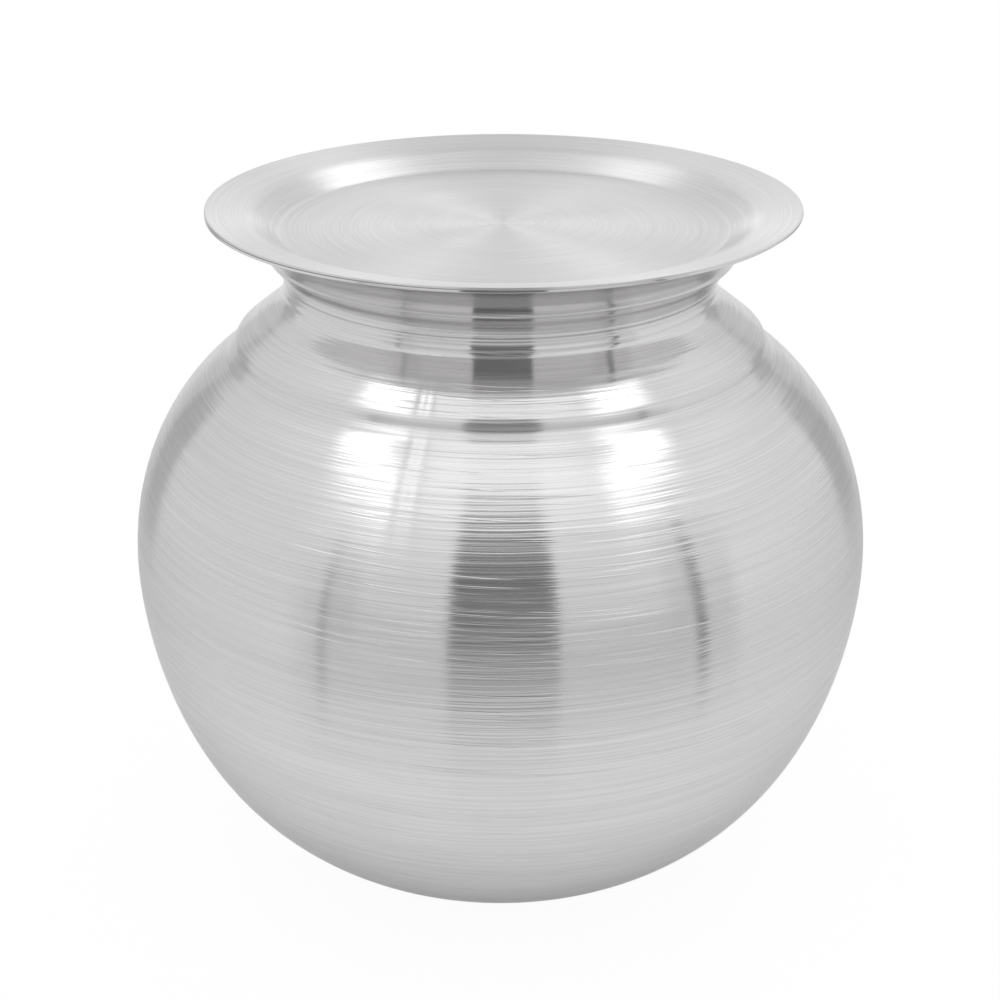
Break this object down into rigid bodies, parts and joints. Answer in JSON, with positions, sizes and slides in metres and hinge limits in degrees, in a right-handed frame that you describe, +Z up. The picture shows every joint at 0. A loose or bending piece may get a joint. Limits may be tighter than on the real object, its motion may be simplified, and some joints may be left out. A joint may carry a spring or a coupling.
{
  "type": "water pot",
  "caption": "Globular spun aluminium water pot with a stepped shoulder, short neck and flared lip, closed by a loose dish lid that lies on the lip.",
  "frame": {"origin": "centre of the flat base, where the pot's axis meets the surface that it stands on", "axes": "+Z up along the axis that both pieces are turned about; -Y is the side that faces the camera in the picture"},
  "size_m": [0.24, 0.24, 0.2206],
  "materials": {
    "pot_aluminium": "bright spun finish with fine tool lines round the axis",
    "lid_aluminium": "satin spun finish with fine tool lines round the axis"
  },
  "bodies": {
    "pot": {"pot_body": "pot_aluminium"},
    "lid": {"lid": "lid_aluminium"}
  },
  "joints": [
    {"name": "lid_lift", "type": "slide", "parent": "pot", "child": "lid", "axis": [0, 0, 1], "range_m": [0, 0.1]}
  ]
}
